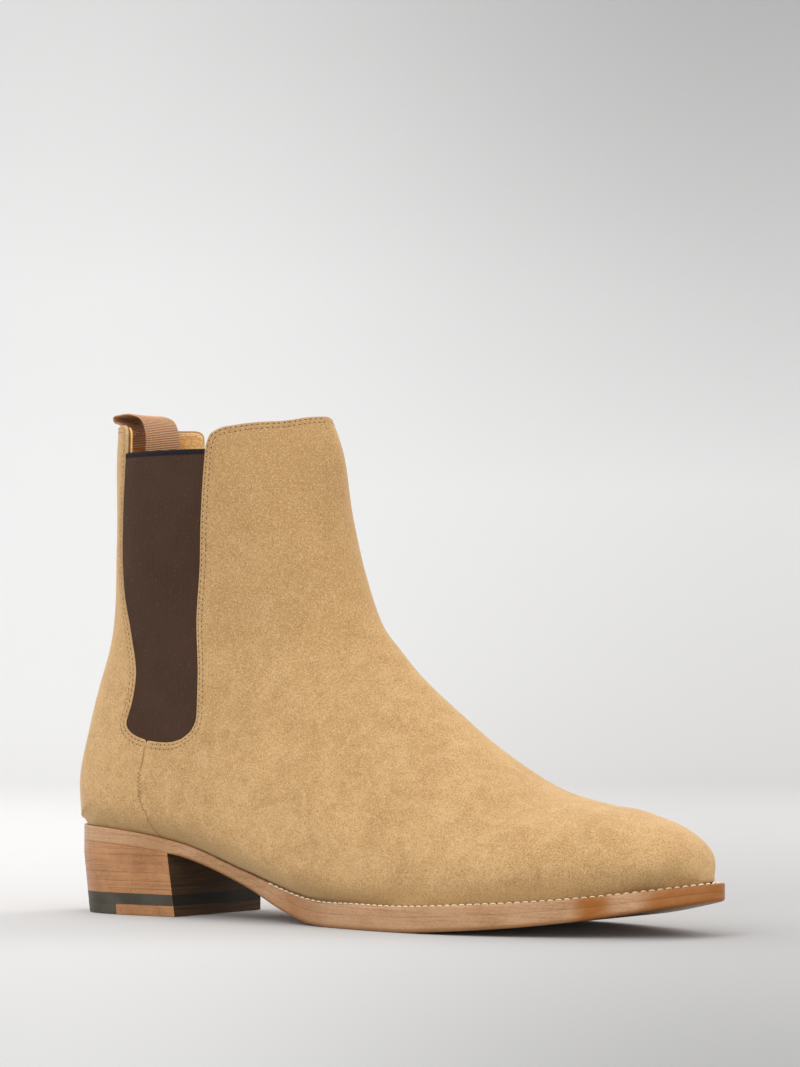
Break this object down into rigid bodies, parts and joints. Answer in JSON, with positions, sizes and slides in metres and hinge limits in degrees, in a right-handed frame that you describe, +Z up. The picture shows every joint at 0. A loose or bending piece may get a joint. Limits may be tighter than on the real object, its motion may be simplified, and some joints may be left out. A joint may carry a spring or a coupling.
{
  "type": "chelsea boot",
  "caption": "Right-foot suede ankle boot with elastic side gores, a back pull loop, a welted leather sole, a pointed almond toe and a stacked leather heel.",
  "frame": {"origin": "on the ground under the middle of the boot's bounding box", "axes": "+X to the toe, +Y to the wearer's left, which is the inner side of this right boot, +Z up"},
  "size_m": [0.3003, 0.1028, 0.207],
  "materials": {
    "suede": "napped suede, matt, sand brown",
    "elastic": "ribbed dark brown elastic webbing",
    "ribbon": "woven grosgrain ribbon",
    "lining": "smooth pored lining leather, orange tan",
    "sole_leather": "waxed and burnished leather edge, satin",
    "insole_leather": "plain vegetable-tanned leather",
    "rubber": "dark grey-green rubber, matt",
    "cork": "granular cork paste",
    "fibreboard": "stiff bonded leather fibre",
    "steel": "plain steel",
    "brass": "plain brass"
  },
  "bodies": {
    "boot": {"front_upper": "suede", "quarter_lower": "suede", "gore_lateral": "elastic", "gore_medial": "elastic", "lining_front": "lining", "lining_quarter_lower": "lining", "sock_liner": "lining", "toe_puff": "fibreboard", "heel_counter": "fibreboard", "insole": "insole_leather", "cork_filler": "cork", "shank": "steel", "outsole": "sole_leather", "welt": "sole_leather", "heel_rand": "sole_leather", "heel_wedge": "sole_leather", "heel_lift_1": "sole_leather", "heel_lift_2": "sole_leather", "heel_lift_3": "sole_leather", "heel_lift_4": "sole_leather", "heel_lift_5": "sole_leather", "heel_rubber_layer": "rubber", "top_piece_rubber": "rubber", "top_piece_leather": "sole_leather", "heel_nail_1": "steel", "heel_nail_2": "steel", "heel_nail_3": "steel", "heel_nail_4": "steel", "top_nail_1": "brass", "top_nail_2": "brass", "top_nail_3": "brass", "top_nail_4": "brass", "top_nail_5": "brass", "top_nail_6": "brass"},
    "back_panel": {"quarter_upper": "suede", "lining_quarter_upper": "lining"},
    "pull_loop": {"pull_loop": "ribbon"}
  },
  "joints": [
    {"name": "back_panel_flex", "type": "hinge", "parent": "boot", "child": "back_panel", "pos_m": [-0.1459, 0.0005, 0.076], "axis": [0, -1, 0], "range_deg": [0, 8], "stiffness_Nm_per_rad": 15, "deforming": ["gore_lateral", "gore_medial"]},
    {"name": "pull_loop_flop", "type": "hinge", "parent": "back_panel", "child": "pull_loop", "pos_m": [-0.1314, 0.0005, 0.1995], "axis": [0, 1, 0], "range_deg": [-10, 12], "stiffness_Nm_per_rad": 0.02}
  ]
}
